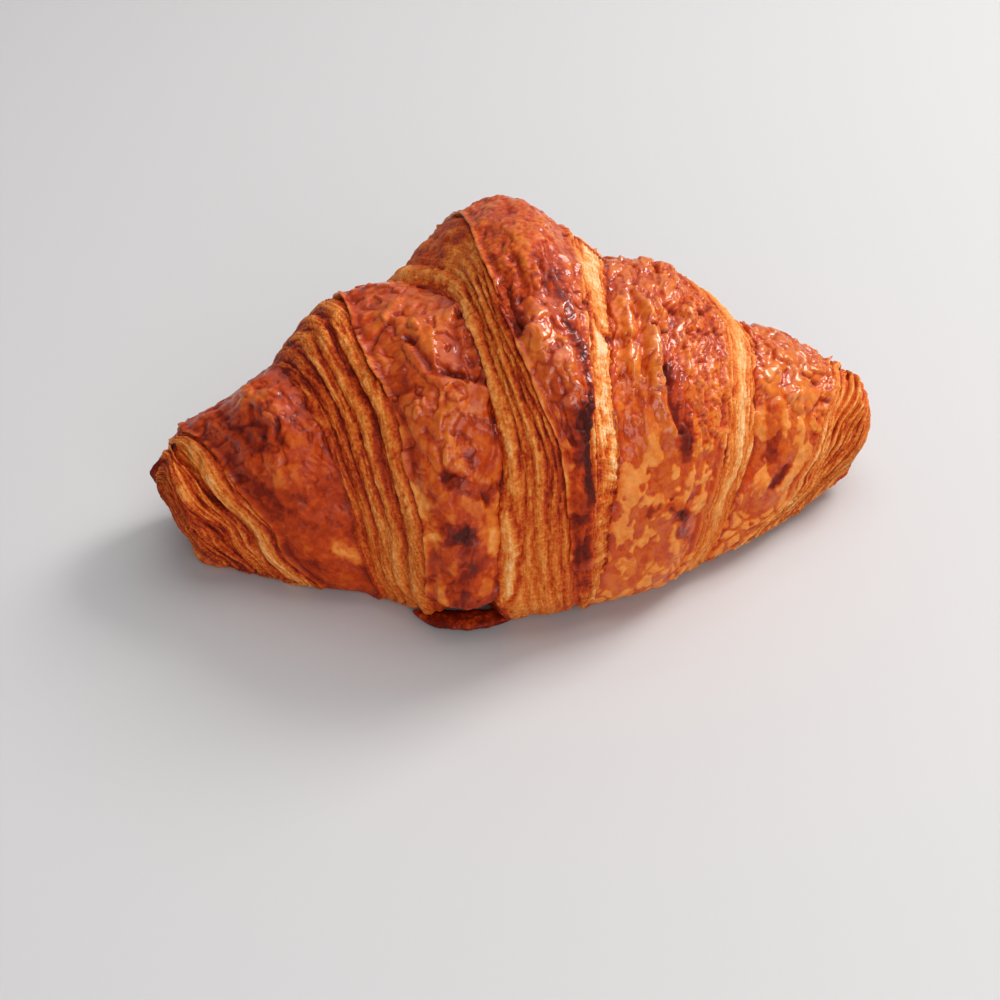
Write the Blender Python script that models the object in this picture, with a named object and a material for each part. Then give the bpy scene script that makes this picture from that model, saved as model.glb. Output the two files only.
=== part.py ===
"""A croissant, 160 mm from tip to tip.

It is one solid: a triangle of layered dough rolled up from its wide side. The roll lies along X and rests on
its flat underside. The dough's two slanted sides wind round the roll and show as edges that step down towards
the tips. Between two edges lies a smooth, puffed stretch of crust. The dough's narrow end lies low in front,
where the top wrap is at its narrowest.

Lengths are in millimetres until the mesh is made. Angles go round a section: 0 is the front (-Y), 90 the top,
180 the back (+Y) and 270 the underside.
"""

import bmesh
import bpy
import numpy as np

METRES_PER_MM = 0.001
SEAM_DISTANCE = 1e-7

# The roll's outline: place along X, half width in front of the spine, height. Steps and folds are cut into it.
OUTLINE = (
    (-82.0, 13.0, 25.0),
    (-76.0, 18.5, 28.5),
    (-68.0, 19.5, 33.5),
    (-54.0, 27.5, 49.5),
    (-46.0, 32.0, 54.5),
    (-36.0, 39.0, 55.5),
    (-22.0, 51.0, 62.5),
    (-9.0, 53.5, 70.0),
    (2.0, 53.0, 71.5),
    (12.0, 51.0, 65.0),
    (20.0, 47.5, 62.0),
    (28.0, 43.0, 57.5),
    (44.0, 33.0, 49.5),
    (58.0, 24.0, 39.5),
    (70.0, 16.5, 31.0),
    (77.0, 12.5, 28.0),
    (82.0, 10.0, 24.0),
)
BACK_WIDTH = 0.8  # half width behind the spine, as a share of the half width in front
TIPS_FORWARD = 3.0  # how far the crescent's tips come forward
TIP_LIFT = 5.0  # how far the tips clear the table
LIFT_FROM = 54.0  # distance from the middle where the lift starts
WIDEST_AT = 0.36  # height of the widest line, as a share of the section's height
UPPER_SQUARENESS = 2.15  # 2 would be an ellipse
LOWER_SQUARENESS = 4.2
TIP_SQUARENESS = 2.6  # lower half of a section at the tips
ROUNDER_FROM = 45.0  # distance from the middle where the sections start to turn rounder
UNDERSIDE_CUT = 1.5  # how much is cut off the rounded underside to leave it flat

# The wraps' edges from the left tip to the right one. "out" is the foot of a stack of layers, and "skin" is its
# top, where the glazed crust starts. Place at the top of the roll, shift at the front foot, shift at the back
# foot, and depth below the outline.
EDGES = (
    ("left tip out", -78.0, 11.0, -1.0, 2.5),
    ("left tip skin", -76.0, 21.0, -3.0, 0.0),
    ("left shoulder out", -55.5, 15.0, -6.5, 7.5),
    ("left shoulder skin", -40.5, 11.5, -7.5, 0.5),
    ("top wrap left out", -20.0, 7.5, -9.5, 6.0),
    ("top wrap left skin", -12.0, 11.0, -9.5, 0.0),
    ("top wrap right skin", 10.0, -7.0, 8.0, 0.5),
    ("top wrap right out", 20.0, -12.0, 8.5, 5.5),
    ("right shoulder skin", 42.0, -10.0, 6.0, 0.5),
    ("right shoulder out", 53.5, -10.5, 6.0, 5.0),
    ("right tip skin", 74.5, -17.5, 2.5, 0.0),
    ("right tip out", 77.5, -12.5, 1.5, 2.5),
)
TOP_AT = 100.0  # angles where an edge has no shift, its front shift and its back shift
FRONT_AT = -10.0
BACK_AT = 200.0
UNDER_FROM_BACK = 215.0  # the edges pass from the back shift to the front one between these angles
UNDER_TO_FRONT = 325.0

SKIN_RINGS = 6  # sections across a stretch of crust
LAYER_RINGS = 8  # sections across a stack of layers
RING_POINTS = 50
LAYER_GROOVE = 0.9  # depth of the grooves between the layers of a stack
LAYERS_SHOWN = 2.5
PUFF = 0.9  # how far a stretch of crust swells between its edges

# The roll's inner turns, which stick out of each tip, in order along X: place at the top, forward place, height
# of the middle, half width, half height, and shift at the bottom.
LEFT_CORE = (
    (-82.0, -4.0, 18.0, 2.5, 2.5, 0.0),
    (-80.8, -4.0, 17.5, 6.0, 5.5, 0.5),
    (-79.6, -4.5, 16.0, 9.5, 9.5, 2.0),
    (-78.6, -6.0, 14.0, 14.0, 13.0, 6.0),
)
RIGHT_CORE = (
    (78.4, -4.5, 14.0, 11.0, 12.5, -5.0),
    (79.8, -4.0, 15.0, 8.0, 9.0, -1.5),
    (81.0, -3.5, 16.0, 4.5, 5.0, 0.0),
)

CRUST_COLOUR = (0.42, 0.085, 0.018, 1.0)
CRUST_ROUGHNESS = 0.4


def smooth_step(value):
    value = np.clip(value, 0.0, 1.0)
    return value * value * (3.0 - 2.0 * value)


def curve_through(places, values, at):
    """A smooth curve through the given values, read at other places."""
    places = np.asarray(places, float)
    values = np.asarray(values, float)
    at = np.clip(at, places[0], places[-1])
    slopes = np.gradient(values, places)
    left = np.clip(np.searchsorted(places, at, side="right") - 1, 0, len(places) - 2)
    step = places[left + 1] - places[left]
    t = (at - places[left]) / step
    ends = (2 * t**3 - 3 * t**2 + 1) * values[left] + (3 * t**2 - 2 * t**3) * values[left + 1]
    bends = (t**3 - 2 * t**2 + t) * slopes[left] + (t**3 - t**2) * slopes[left + 1]
    return ends + step * bends


def edge_shift(angles, front, back):
    """How far an edge moves along X as it winds round the roll."""
    to_front = np.clip((TOP_AT - angles) / (TOP_AT - FRONT_AT), 0.0, None) ** 0.9
    to_back = np.clip((angles - TOP_AT) / (BACK_AT - TOP_AT), 0.0, None)
    shift = front * to_front + back * to_back
    low_front = front * ((TOP_AT - UNDER_TO_FRONT + 360.0) / (TOP_AT - FRONT_AT)) ** 0.9
    low_back = back * (UNDER_FROM_BACK - TOP_AT) / (BACK_AT - TOP_AT)
    turned = np.where(angles < 0.0, angles + 360.0, angles)
    across = smooth_step((turned - UNDER_FROM_BACK) / (UNDER_TO_FRONT - UNDER_FROM_BACK))
    is_under = (turned > UNDER_FROM_BACK) & (turned < UNDER_TO_FRONT)
    return np.where(is_under, low_back + (low_front - low_back) * across, shift)


def section(angles, places, depth):
    """Points of a section: forward place and height, for a place along X at each angle."""
    stations, widths, heights = zip(*OUTLINE)
    half_width = curve_through(stations, widths, places)
    height = curve_through(stations, heights, places)
    lift = TIP_LIFT * np.clip((np.abs(places) - LIFT_FROM) / (stations[-1] - LIFT_FROM), 0.0, 1.0) ** 2
    widest = lift + (height - lift) * WIDEST_AT
    up = np.sin(np.radians(angles))
    back = -np.cos(np.radians(angles))
    tip_share = smooth_step((np.abs(places) - ROUNDER_FROM) / (stations[-1] - ROUNDER_FROM))
    lower = LOWER_SQUARENESS + (TIP_SQUARENESS - LOWER_SQUARENESS) * tip_share
    power = 2.0 / np.where(up >= 0.0, UPPER_SQUARENESS, lower)
    reach = np.where(up >= 0.0, height - widest, widest - lift + UNDERSIDE_CUT)
    y = np.sign(back) * np.abs(back) ** power * half_width * np.where(back > 0.0, BACK_WIDTH, 1.0)
    z = widest + np.sign(up) * np.abs(up) ** power * reach
    from_middle = np.maximum(np.hypot(y, z - widest), 8.0)
    kept = 1.0 - depth * np.clip((up + 0.75) / 0.9, 0.0, 1.0) / from_middle
    return y * kept, np.maximum(widest + (z - widest) * kept, lift)


def ring_rows():
    """One row for each section along the roll: place, front shift, back shift and depth."""
    rows = []
    for (name, *start), (next_name, *end) in zip(EDGES, EDGES[1:]):
        start = np.array(start)
        end = np.array(end)
        is_layers = name.rsplit(" ", 1)[0] == next_name.rsplit(" ", 1)[0]
        count = LAYER_RINGS if is_layers else SKIN_RINGS
        for index in range(count):
            t = index / count
            row = start + (end - start) * t
            if is_layers:
                row[3] += LAYER_GROOVE * np.sin(2.0 * np.pi * LAYERS_SHOWN * t) ** 2
            else:
                falls_right = end[3] > start[3]
                share = t**2 if falls_right else 1.0 - (1.0 - t) ** 2
                row[3] = start[3] + (end[3] - start[3]) * share - PUFF * np.sin(np.pi * t)
            rows.append(row)
    rows.append(np.array(EDGES[-1][1:]))
    return rows


def ring_points(row, angles):
    place, front, back, depth = row
    x = place + edge_shift(angles, front, back)
    y, z = section(angles, x, depth)
    bow = -TIPS_FORWARD * np.abs(x / OUTLINE[-1][0]) ** 2
    return np.stack([x, y + bow, z], axis=1)


def core_points(core, angles):
    """An oval section of the roll's inner turns."""
    place, forward, middle, half_width, half_height, low_shift = core
    up = np.sin(np.radians(angles))
    x = place + low_shift * (1.0 - up) / 2.0
    return np.stack([x, forward - half_width * np.cos(np.radians(angles)), middle + half_height * up], axis=1)


def ring_stack():
    """All the sections from the left tip to the right one, centred over the origin, in metres."""
    angles = -90.0 + 360.0 * np.arange(RING_POINTS) / RING_POINTS
    rings = [core_points(core, angles) for core in LEFT_CORE]
    rings += [ring_points(row, angles) for row in ring_rows()]
    rings += [core_points(core, angles) for core in RIGHT_CORE]
    stack = np.array(rings)
    low = stack.min(axis=(0, 1))
    high = stack.max(axis=(0, 1))
    middle = (low + high) / 2.0
    middle[2] = low[2]
    return (stack - middle) * METRES_PER_MM


def rolled_dough():
    """The whole solid: a flat sheet is rolled into a tube through the sections, then sewn and closed."""
    stack = ring_stack()
    last_ring = len(stack) - 1
    dough = bmesh.new()
    bmesh.ops.create_grid(dough, x_segments=last_ring, y_segments=RING_POINTS, size=0.5)
    for vert in dough.verts:
        ring = round((vert.co.x + 0.5) * last_ring)
        point = round((vert.co.y + 0.5) * RING_POINTS) % RING_POINTS
        vert.co = stack[ring, point]
    bmesh.ops.remove_doubles(dough, verts=dough.verts, dist=SEAM_DISTANCE)
    bmesh.ops.holes_fill(dough, edges=dough.edges)
    bmesh.ops.recalc_face_normals(dough, faces=dough.faces)
    return dough


def crust_material():
    material = bpy.data.materials.new("baked crust")
    material.use_nodes = True
    shader = material.node_tree.nodes["Principled BSDF"]
    shader.inputs["Base Color"].default_value = CRUST_COLOUR
    shader.inputs["Roughness"].default_value = CRUST_ROUGHNESS
    shader.inputs["Metallic"].default_value = 0.0
    return material


def main():
    for leftover in list(bpy.data.objects):
        bpy.data.objects.remove(leftover, do_unlink=True)
    dough = rolled_dough()
    mesh = bpy.data.meshes.new("croissant")
    dough.to_mesh(mesh)
    dough.free()
    mesh.materials.append(crust_material())
    mesh.shade_smooth()
    croissant = bpy.data.objects.new("croissant", mesh)
    bpy.context.scene.collection.objects.link(croissant)


main()
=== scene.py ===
"""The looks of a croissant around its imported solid, as an add-on that is run as a script.

The croissant is rolled from layered dough. Smooth glazed crusts lie between stacks of thin layers, and each is
its own closed piece here. Pieces are worked out in millimetres on the roll's own surface, in the solid's frame:
an angle goes round the roll (0 front, 90 top, 180 back, 270 underside) and a share goes from a band's left edge
(0) to its right edge (1).
"""

import bpy
import numpy as np
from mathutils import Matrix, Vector


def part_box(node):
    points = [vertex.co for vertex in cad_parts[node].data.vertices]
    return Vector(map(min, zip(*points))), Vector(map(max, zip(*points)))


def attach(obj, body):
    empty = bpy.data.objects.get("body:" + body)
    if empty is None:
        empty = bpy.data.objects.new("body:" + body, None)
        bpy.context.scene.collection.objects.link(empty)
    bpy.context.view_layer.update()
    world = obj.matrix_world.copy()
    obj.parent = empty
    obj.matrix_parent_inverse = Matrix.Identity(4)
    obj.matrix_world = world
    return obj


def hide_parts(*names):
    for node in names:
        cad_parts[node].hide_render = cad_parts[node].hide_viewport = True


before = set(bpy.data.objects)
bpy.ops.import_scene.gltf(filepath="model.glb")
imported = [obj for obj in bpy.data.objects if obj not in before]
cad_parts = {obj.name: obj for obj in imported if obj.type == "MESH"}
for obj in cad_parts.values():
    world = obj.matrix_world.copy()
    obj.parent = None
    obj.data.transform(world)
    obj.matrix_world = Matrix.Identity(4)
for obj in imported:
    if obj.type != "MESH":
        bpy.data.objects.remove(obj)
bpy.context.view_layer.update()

bl_info = {
    "name": "Croissant",
    "version": (1, 0, 0),
    "blender": (4, 5, 0),
    "location": "3D View > Sidebar > Croissant",
    "description": "Builds a baked croissant from crusts, stacks of dough layers and torn scraps",
    "category": "Add Mesh",
}

MM = 0.001
SEW_DISTANCE = 2e-6  # metres

# ---------------------------------------------------------------- the roll's own surface

# Place along X, half width in front of the spine, height.
OUTLINE = (
    (-82.0, 13.0, 25.0),
    (-76.0, 18.5, 28.5),
    (-68.0, 19.5, 33.5),
    (-54.0, 27.5, 49.5),
    (-46.0, 32.0, 54.5),
    (-36.0, 39.0, 55.5),
    (-22.0, 51.0, 62.5),
    (-9.0, 53.5, 70.0),
    (2.0, 53.0, 71.5),
    (12.0, 51.0, 65.0),
    (20.0, 47.5, 62.0),
    (28.0, 43.0, 57.5),
    (44.0, 33.0, 49.5),
    (58.0, 24.0, 39.5),
    (70.0, 16.5, 31.0),
    (77.0, 12.5, 28.0),
    (82.0, 10.0, 24.0),
)
BACK_WIDTH = 0.8  # half width behind the spine, as a share of the half width in front
TIPS_FORWARD = 3.0  # how far the crescent's tips come forward
TIP_LIFT = 5.0  # how far the tips clear the table
LIFT_FROM = 54.0  # distance from the middle where the lift starts
WIDEST_AT = 0.36  # height of the widest line, as a share of the section's height
UPPER_SQUARENESS = 2.15  # 2 would be an ellipse
LOWER_SQUARENESS = 4.2
TIP_SQUARENESS = 2.6  # lower half of a section at the tips
ROUNDER_FROM = 45.0  # distance from the middle where the sections start to turn rounder
UNDERSIDE_CUT = 1.5  # how much is cut off the rounded underside to leave it flat
PUFF = 0.9  # how far a crust swells between its edges

# The edges between bands, from the left tip to the right one: place at the top of the roll, shift at the front
# foot, shift at the back foot, and depth below the outline. Even bands are stacks of layers, odd ones crusts.
EDGES = np.array(
    (
        (-78.0, 11.0, -1.0, 2.5),
        (-76.0, 21.0, -3.0, 0.0),
        (-55.5, 15.0, -6.5, 7.5),
        (-40.5, 11.5, -7.5, 0.5),
        (-20.0, 7.5, -9.5, 6.0),
        (-12.0, 11.0, -9.5, 0.0),
        (10.0, -7.0, 8.0, 0.5),
        (20.0, -12.0, 8.5, 5.5),
        (42.0, -10.0, 6.0, 0.5),
        (53.5, -10.5, 6.0, 5.0),
        (74.5, -17.5, 2.5, 0.0),
        (77.5, -12.5, 1.5, 2.5),
    )
)
# How far each edge strays from that course, in millimetres, at some angles round the roll.
SWAYS = {
    1: ((-24, 1.0), (0, -1.5), (26, -3.5), (66, -1.5), (110, 0.5)),
    3: ((-9, 0.0), (13, 1.5), (28, 1.0), (47, 2.0), (60, 1.0), (75, 0.4), (104, 2.4)),
    4: ((-19, -2.5), (8, -1.0), (22, 1.0), (44, 2.0), (60, 2.8), (83, 1.0), (104, -5.0)),
    5: ((-5, 1.4), (8, 1.6), (25, 1.8), (43, 0.0), (65, -1.3), (84, -0.2), (111, 3.0)),
    6: ((-12, 1.2), (-2, 0.4), (6, 0.0), (26, -0.8), (67, 0.4), (94, 1.8)),
    7: ((-25, -1.3), (-1, -0.5), (19, 0.2), (41, -1.8), (66, -1.0), (103, 0.4)),
    8: ((-27, -4.5), (0, -1.5), (14, 1.2), (41, 2.5), (74, 2.5), (101, -3.0)),
    9: ((-21, -6.5), (-5, -3.5), (7, -0.5), (43, 0.0), (90, 0.0), (98, -1.5)),
    10: ((-20, -12.0), (-1, -1.5), (34, 1.5), (53, 2.0), (92, -1.0)),
}
NO_SWAY_FROM, NO_SWAY_TO = -60.0, 170.0
TOP_AT = 100.0  # angles where an edge has no shift, its front shift and its back shift
FRONT_AT = -10.0
BACK_AT = 200.0
UNDER_FROM_BACK = 215.0  # the edges pass from the back shift to the front one between these angles
UNDER_TO_FRONT = 325.0
SHIFT_EASE = 0.9  # below 1, the edges turn forward soonest near the top
SPINE_OFF_CENTRE = 0.5  # how far the roll's middle is moved right to stand in the solid


def smooth_step(value):
    value = np.clip(value, 0.0, 1.0)
    return value * value * (3.0 - 2.0 * value)


def window(values, low, high, edge):
    """1 between low and high, falling to 0 over the edge."""
    return smooth_step((values - low) / edge + 0.5) * smooth_step((high - values) / edge + 0.5)


def hump(values, width):
    """1 where the values are 0, falling away smoothly on both sides."""
    return np.exp(-((values / width) ** 2))


def together(*parts):
    """Several measures of the same points side by side, where a plain number counts for all of them."""
    return np.stack(np.broadcast_arrays(*parts), axis=-1)


def unit_rows(vectors):
    return vectors / np.maximum(np.linalg.norm(vectors, axis=-1, keepdims=True), 1e-9)


def curve_through(places, values, at):
    """A smooth curve through the given values, read at other places."""
    places = np.asarray(places, float)
    values = np.asarray(values, float)
    at = np.clip(at, places[0], places[-1])
    slopes = np.gradient(values, places)
    left = np.clip(np.searchsorted(places, at, side="right") - 1, 0, len(places) - 2)
    step = places[left + 1] - places[left]
    t = (at - places[left]) / step
    ends = (2 * t**3 - 3 * t**2 + 1) * values[left] + (3 * t**2 - 2 * t**3) * values[left + 1]
    bends = (t**3 - 2 * t**2 + t) * slopes[left] + (t**3 - t**2) * slopes[left + 1]
    return ends + step * bends


def edge_shift(angles, front, back):
    """How far an edge moves along X as it winds round the roll."""
    to_front = np.clip((TOP_AT - angles) / (TOP_AT - FRONT_AT), 0.0, None) ** SHIFT_EASE
    to_back = np.clip((angles - TOP_AT) / (BACK_AT - TOP_AT), 0.0, None)
    shift = front * to_front + back * to_back
    low_front = front * ((TOP_AT - UNDER_TO_FRONT + 360.0) / (TOP_AT - FRONT_AT)) ** SHIFT_EASE
    low_back = back * (UNDER_FROM_BACK - TOP_AT) / (BACK_AT - TOP_AT)
    turned = np.where(angles < 0.0, angles + 360.0, angles)
    across = smooth_step((turned - UNDER_FROM_BACK) / (UNDER_TO_FRONT - UNDER_FROM_BACK))
    is_under = (turned > UNDER_FROM_BACK) & (turned < UNDER_TO_FRONT)
    return np.where(is_under, low_back + (low_front - low_back) * across, shift)


def sway(edge, angles):
    """How far an edge strays from its plain course."""
    if edge not in SWAYS:
        return np.zeros_like(angles)
    places, values = zip((NO_SWAY_FROM, 0.0), *SWAYS[edge], (NO_SWAY_TO, 0.0))
    return curve_through(places, values, angles)


def section(angles, places, depth):
    """Points of a section: forward place and height, for a place along X at each angle."""
    stations, widths, heights = zip(*OUTLINE)
    half_width = curve_through(stations, widths, places)
    height = curve_through(stations, heights, places)
    lift = TIP_LIFT * np.clip((np.abs(places) - LIFT_FROM) / (stations[-1] - LIFT_FROM), 0.0, 1.0) ** 2
    widest = lift + (height - lift) * WIDEST_AT
    up = np.sin(np.radians(angles))
    back = -np.cos(np.radians(angles))
    tip_share = smooth_step((np.abs(places) - ROUNDER_FROM) / (stations[-1] - ROUNDER_FROM))
    lower = LOWER_SQUARENESS + (TIP_SQUARENESS - LOWER_SQUARENESS) * tip_share
    power = 2.0 / np.where(up >= 0.0, UPPER_SQUARENESS, lower)
    reach = np.where(up >= 0.0, height - widest, widest - lift + UNDERSIDE_CUT)
    y = np.sign(back) * np.abs(back) ** power * half_width * np.where(back > 0.0, BACK_WIDTH, 1.0)
    z = widest + np.sign(up) * np.abs(up) ** power * reach
    from_middle = np.maximum(np.hypot(y, z - widest), 8.0)
    kept = 1.0 - depth * np.clip((up + 0.75) / 0.9, 0.0, 1.0) / from_middle
    return y * kept, np.maximum(widest + (z - widest) * kept, lift)


def band_points(band, share, angles):
    """Points of the roll's surface in a band, before they are centred. The share may run past the band."""
    share, angles = np.broadcast_arrays(share, angles)
    start, end = EDGES[band], EDGES[band + 1]
    place, front, back, depth = (start[n] + (end[n] - start[n]) * share for n in range(4))
    if band % 2 == 1:
        falls_right = end[3] > start[3]
        eased = share**2 if falls_right else 1.0 - (1.0 - share) ** 2
        depth = start[3] + (end[3] - start[3]) * eased - PUFF * np.sin(np.pi * share)
    strayed = sway(band, angles) * (1.0 - share) + sway(band + 1, angles) * share
    x = place + edge_shift(angles, front, back) + strayed
    y, z = section(angles, x, depth)
    bow = -TIPS_FORWARD * np.abs(x / OUTLINE[-1][0]) ** 2
    return together(x, y + bow, z)


def centring():
    """What moves the surface to the solid's place, in millimetres."""
    angles = np.arange(-90.0, 270.0, 1.0)[None, :]
    shares = np.linspace(0.0, 1.0, 12)[:, None]
    bands = [band_points(band, shares, angles) for band in range(len(EDGES) - 1)]
    spread = np.concatenate(bands)[..., 1]
    low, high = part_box("croissant")
    middle_y = (low.y + high.y) / 2.0 / MM
    return np.array([SPINE_OFF_CENTRE, middle_y - (spread.min() + spread.max()) / 2.0, 0.0])


CENTRING = centring()


# ---------------------------------------------------------------- grain, wrinkles and cracks


def scramble(x, y, z, seed):
    """A repeatable whole number for each cell of a lattice."""
    value = x * 374761393 + y * 668265263 + z * 1274126177 + seed * 974634777
    value = value & 0xFFFFFFFF
    value = ((value ^ (value >> 13)) * 1103515245) & 0xFFFFFFFF
    value = ((value ^ (value >> 15)) * 2246822519) & 0xFFFFFFFF
    return value ^ (value >> 16)


def unit(value):
    return (value & 0xFFFF) / 65535.0


def grain(points, size, seed):
    """Smooth random hills about `size` across, from about -1 to 1."""
    cell = points / size
    base = np.floor(cell).astype(np.int64)
    inside = cell - base
    fade = inside**3 * (inside * (inside * 6.0 - 15.0) + 10.0)
    total = 0.0
    for corner in range(8):
        step = np.array([corner & 1, (corner >> 1) & 1, corner >> 2])
        mixed = scramble(*np.moveaxis(base + step, -1, 0), seed)
        turn = 2.0 * np.pi * unit(mixed)
        rise = 2.0 * unit(mixed >> 16) - 1.0
        flat = np.sqrt(1.0 - rise**2)
        away = inside - step
        dot = away[..., 0] * flat * np.cos(turn) + away[..., 1] * flat * np.sin(turn) + away[..., 2] * rise
        weight = np.prod(np.where(step == 1, fade, 1.0 - fade), axis=-1)
        total = total + weight * dot
    return np.clip(total * 1.7, -1.0, 1.0)


def rough(points, size, seed, octaves=3):
    """Hills with smaller hills on them."""
    total, height = 0.0, 1.0
    for octave in range(octaves):
        total = total + height * grain(points, size / 2.0**octave, seed + 17 * octave)
        height *= 0.5
    return total / 1.5


def plates(u, v, seed):
    """Cracked cells of size 1: how far a point is inside its cell."""
    base_u, base_v = np.floor(u).astype(np.int64), np.floor(v).astype(np.int64)
    nearest = np.full(u.shape, 9.0)
    second = np.full(u.shape, 9.0)
    for step_u in (-1, 0, 1):
        for step_v in (-1, 0, 1):
            mixed = scramble(base_u + step_u, base_v + step_v, 0, seed)
            away = np.hypot(base_u + step_u + unit(mixed) - u, base_v + step_v + unit(mixed >> 16) - v)
            second = np.where(away < nearest, nearest, np.minimum(second, away))
            nearest = np.minimum(nearest, away)
    return second - nearest


# ---------------------------------------------------------------- the roll's skin as a grid

UNDERSIDE_REACH = 48.0  # degrees on both sides of the lowest line where the grid is coarser
UNDERSIDE_FINENESS = 0.35


def column_angles(band, around):
    """Angles that stand evenly along the ring, and further apart under the roll."""
    fine = np.linspace(-90.0, 270.0, 1441)
    ring = band_points(band, 0.5, fine)
    step = np.linalg.norm(np.diff(ring, axis=0), axis=1)
    middle = (fine[1:] + fine[:-1]) / 2.0
    from_below = np.minimum(middle + 90.0, 270.0 - middle)
    step = step * np.where(from_below < UNDERSIDE_REACH, UNDERSIDE_FINENESS, 1.0)
    walked = np.concatenate([[0.0], np.cumsum(step)])
    count = int(walked[-1] / around)
    return np.interp(np.linspace(0.0, walked[-1], count + 1), walked, fine)


def walked_along(points):
    """The way walked from the first point to each one."""
    return np.concatenate([[0.0], np.cumsum(np.linalg.norm(np.diff(points, axis=0), axis=1))])


def from_top(band, angles):
    """Lengths round the roll along a band's middle, counted from the top."""
    along = walked_along(band_points(band, 0.5, angles))
    return along - np.interp(TOP_AT, angles, along)


class Skin:
    """A grid of points on the roll: rows go across from edge to edge, columns round the roll.

    Each end is a "lip" (a free edge with a rim), a "tuck" (it dives under the next piece) or a "point".
    """

    TUCK = 3.0  # how far a tuck reaches past the band's edge
    TUCK_DEPTH = 3.5
    # How far each row of a rim stands out past the edge, and how far down it lies.
    RIMS = {"lip": ((0.12, 0.22), (0.1, 0.6), (-0.5, 1.3), (-1.5, 3.5)), "tuck": ((0.3, 2.0),), "point": ()}

    def start(self, base, s, angles, along, ends, offset, inside):
        """Takes the points, their places across (s) and round (along), and a point inside for the normals."""
        self.base, self.s, self.angles, self.along, self.ends = base, s, angles, along, ends
        self.angle = angles + 0.0 * s
        self.r = along + 0.0 * s
        normal = np.cross(np.gradient(base, axis=0), np.gradient(base, axis=1))
        outward = np.sign((normal * (base - inside)).sum(axis=-1, keepdims=True))
        self.normal = unit_rows(normal) * np.where(outward == 0.0, 1.0, outward)
        self.relief = np.zeros(s.shape)
        self.bake = np.full(s.shape, 0.5)
        self.gloss = np.full(s.shape, 0.5)
        self.fibre = np.zeros(s.shape)
        self.strand = together(s, self.r, offset)

    def flow(self, stretch):
        """Places on the skin laid flat, with everything drawn out along the roll's turns."""
        return together(self.s, self.r / stretch, 0.0)

    def bent(self, size, stretch, amount, waves, seed):
        """The same, bent by random hills, on a lane of its own."""
        bend = [amount * size * rough(self.base, waves * size, seed + number) for number in (0, 1)]
        return together(self.s + bend[0], (self.r + bend[1]) / stretch, 9.0 * seed)

    def stroke(self, points, width, seed):
        """1 along a line through (place across, angle) points, falling to 0 at about the width, unevenly."""
        across, angles = zip(*points)
        steps = np.linspace(0.0, len(points) - 1.0, 12 * len(points) - 11)
        knots = np.arange(len(points))
        nearest = np.full(self.s.shape, 1e9)
        for place, angle in zip(np.interp(steps, knots, across), np.interp(steps, knots, angles)):
            aside = self.s - place * self.unit_across
            along = self.r - np.interp(angle, self.angles, self.along)
            nearest = np.minimum(nearest, aside**2 + along**2)
        uneven = np.clip(1.0 + 0.7 * rough(self.base, 3.0, 700 + seed, 4), 0.3, 2.0)
        return np.exp(-nearest / (width * uneven) ** 2)

    def marked(self, strokes):
        """Adds strokes: points, width, and what each adds to browning, gloss and relief. Dark ones blister."""
        for number, (points, width, darker, shinier, raised) in enumerate(strokes):
            mark = self.stroke(points, width, number)
            crisp = smooth_step((mark - 0.15 + 0.25 * rough(self.base, 2.0, 760 + number, 3)) / 0.4)
            patchy = 1.0 + 0.5 * rough(self.base, 2.4, 780 + number, 3)
            self.bake += darker * (0.4 * mark + 0.6 * crisp) * patchy
            self.gloss += shinier * crisp
            self.relief += raised * mark
            self.relief += 2.6 * max(darker - 0.12, 0.0) * crisp * rough(self.base, 1.3, 800 + number, 2)

    def finished(self):
        """All rows of points in metres, with rims that turn in and close on the spine, and their values."""
        surface = self.base + self.normal * self.relief[..., None]
        surface[..., 2] = np.maximum(surface[..., 2], 0.0)
        rows = list(surface)
        values = list(together(self.bake, self.gloss, self.fibre, *np.moveaxis(self.strand, -1, 0)))
        for at_end in (False, True):
            kind = self.ends[at_end]
            edge, inner = (-1, -2) if at_end else (0, 1)
            outwards = unit_rows(rows[edge] - rows[inner])
            outwards *= np.where(outwards[:, :1] * np.median(outwards[:, 0]) < 0.0, -1.0, 1.0)
            rim = []
            for out, down in self.RIMS[kind]:
                row = rows[edge] + outwards * out - self.normal[edge] * down
                row[:, 2] = np.maximum(row[:, 2], 0.0)
                rim.append(row)
            last = rim[-1] if rim else rows[edge]
            rim.append(np.repeat(last.mean(axis=0, keepdims=True), len(self.angles), axis=0))
            rim_values = [values[edge]] * len(rim)
            rows = rows + rim if at_end else rim[::-1] + rows
            values = values + rim_values if at_end else rim_values + values
        return np.array(rows) * MM, np.array(values)


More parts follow.
